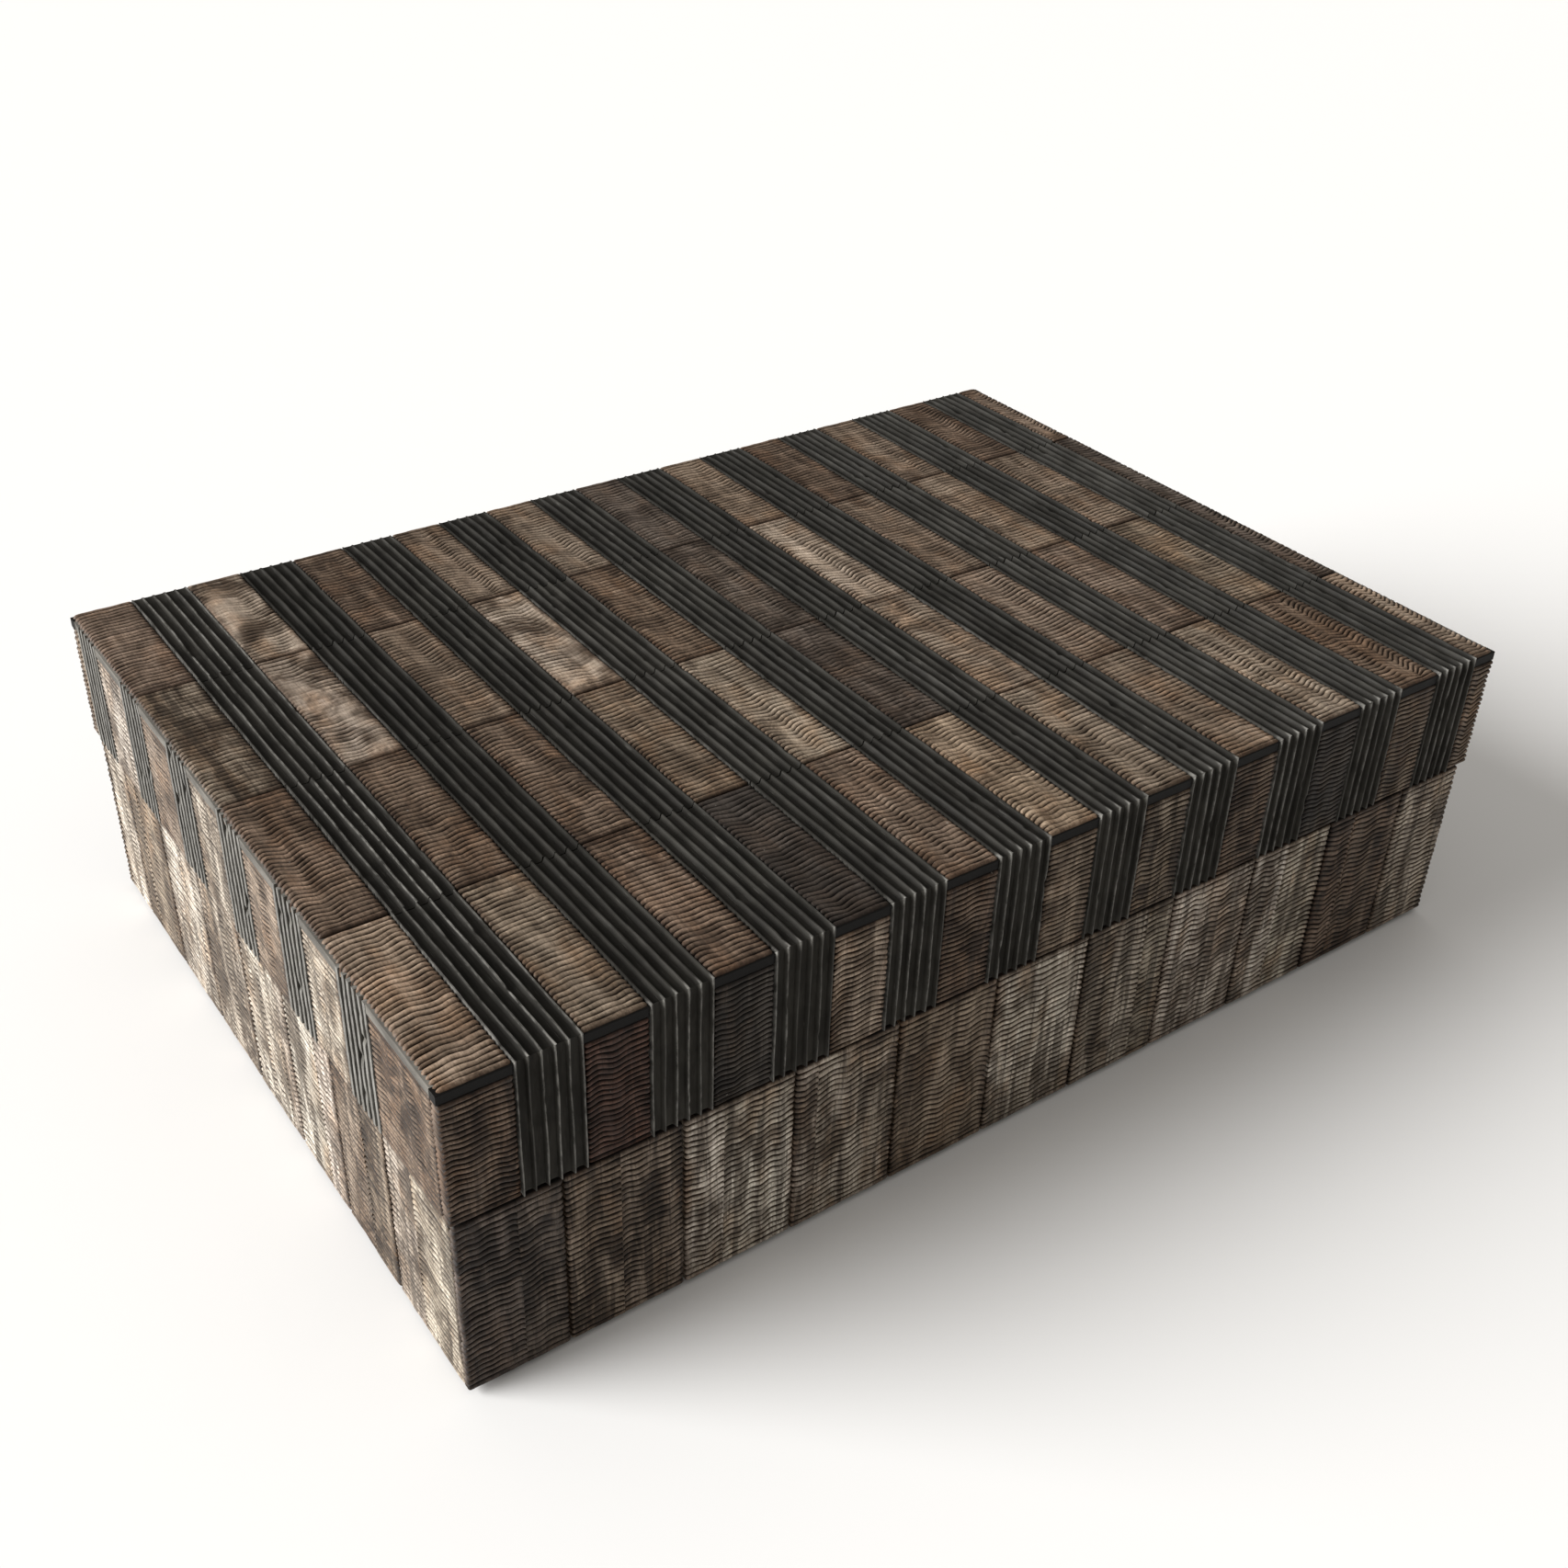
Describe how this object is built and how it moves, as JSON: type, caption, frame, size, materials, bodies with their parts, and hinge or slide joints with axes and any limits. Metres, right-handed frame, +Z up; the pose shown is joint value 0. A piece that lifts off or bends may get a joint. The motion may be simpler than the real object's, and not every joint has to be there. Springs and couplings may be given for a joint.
{
  "type": "hinged box",
  "caption": "Rectangular wooden box covered in ribbed horn tiles, its hinged lid banded with finned black resin, felt lined.",
  "frame": {"origin": "centre of the underside, on the face of the felt that rests on the table", "axes": "+X to the right along the long side, -Y out of the front, +Z up; the hinges are on the +Y side"},
  "size_m": [0.305, 0.2178, 0.0865],
  "materials": {
    "horn": "satin, carved in fine ribs, warm grey-brown, each tile its own shade",
    "black_resin": "satin black, worn grey along the fin tips",
    "wood": "dark stained, satin, visible grain",
    "felt": "black napped felt",
    "brass": "satin brass, slightly tarnished"
  },
  "bodies": {
    "base": {"base_back_wall": "wood", "base_bottom_panel": "wood", "base_front_wall": "wood", "base_hinge_screws": "brass", "base_horn_back": "horn", "base_horn_front": "horn", "base_horn_left": "horn", "base_horn_right": "horn", "base_left_wall": "wood", "base_lining_back": "felt", "base_lining_floor": "felt", "base_lining_front": "felt", "base_lining_left": "felt", "base_lining_right": "felt", "base_right_wall": "wood", "hinge_left_base_leaf": "brass", "hinge_left_pin": "brass", "hinge_right_base_leaf": "brass", "hinge_right_pin": "brass", "underside_felt": "felt"},
    "lid": {"hinge_left_lid_leaf": "brass", "hinge_right_lid_leaf": "brass", "lid_back_horn": "horn", "lid_back_resin": "black_resin", "lid_back_wall": "wood", "lid_edge_resin": "black_resin", "lid_front_horn": "horn", "lid_front_resin": "black_resin", "lid_front_wall": "wood", "lid_hinge_screws": "brass", "lid_left_horn": "horn", "lid_left_resin": "black_resin", "lid_left_wall": "wood", "lid_lining_ceiling": "felt", "lid_lining_walls": "felt", "lid_right_horn": "horn", "lid_right_resin": "black_resin", "lid_right_wall": "wood", "lid_top_horn_band_01": "horn", "lid_top_horn_band_02": "horn", "lid_top_horn_band_03": "horn", "lid_top_horn_band_04": "horn", "lid_top_horn_band_05": "horn", "lid_top_horn_band_06": "horn", "lid_top_horn_band_07": "horn", "lid_top_horn_band_08": "horn", "lid_top_horn_band_09": "horn", "lid_top_horn_band_10": "horn", "lid_top_horn_band_11": "horn", "lid_top_panel": "wood", "lid_top_resin_band_01": "black_resin", "lid_top_resin_band_02": "black_resin", "lid_top_resin_band_03": "black_resin", "lid_top_resin_band_04": "black_resin", "lid_top_resin_band_05": "black_resin", "lid_top_resin_band_06": "black_resin", "lid_top_resin_band_07": "black_resin", "lid_top_resin_band_08": "black_resin", "lid_top_resin_band_09": "black_resin", "lid_top_resin_band_10": "black_resin"}
  },
  "joints": [
    {"name": "lid_hinge", "type": "hinge", "parent": "base", "child": "lid", "pos_m": [0, 0.1091, 0.0505], "axis": [-1, 0, 0], "range_deg": [0, 95]}
  ]
}
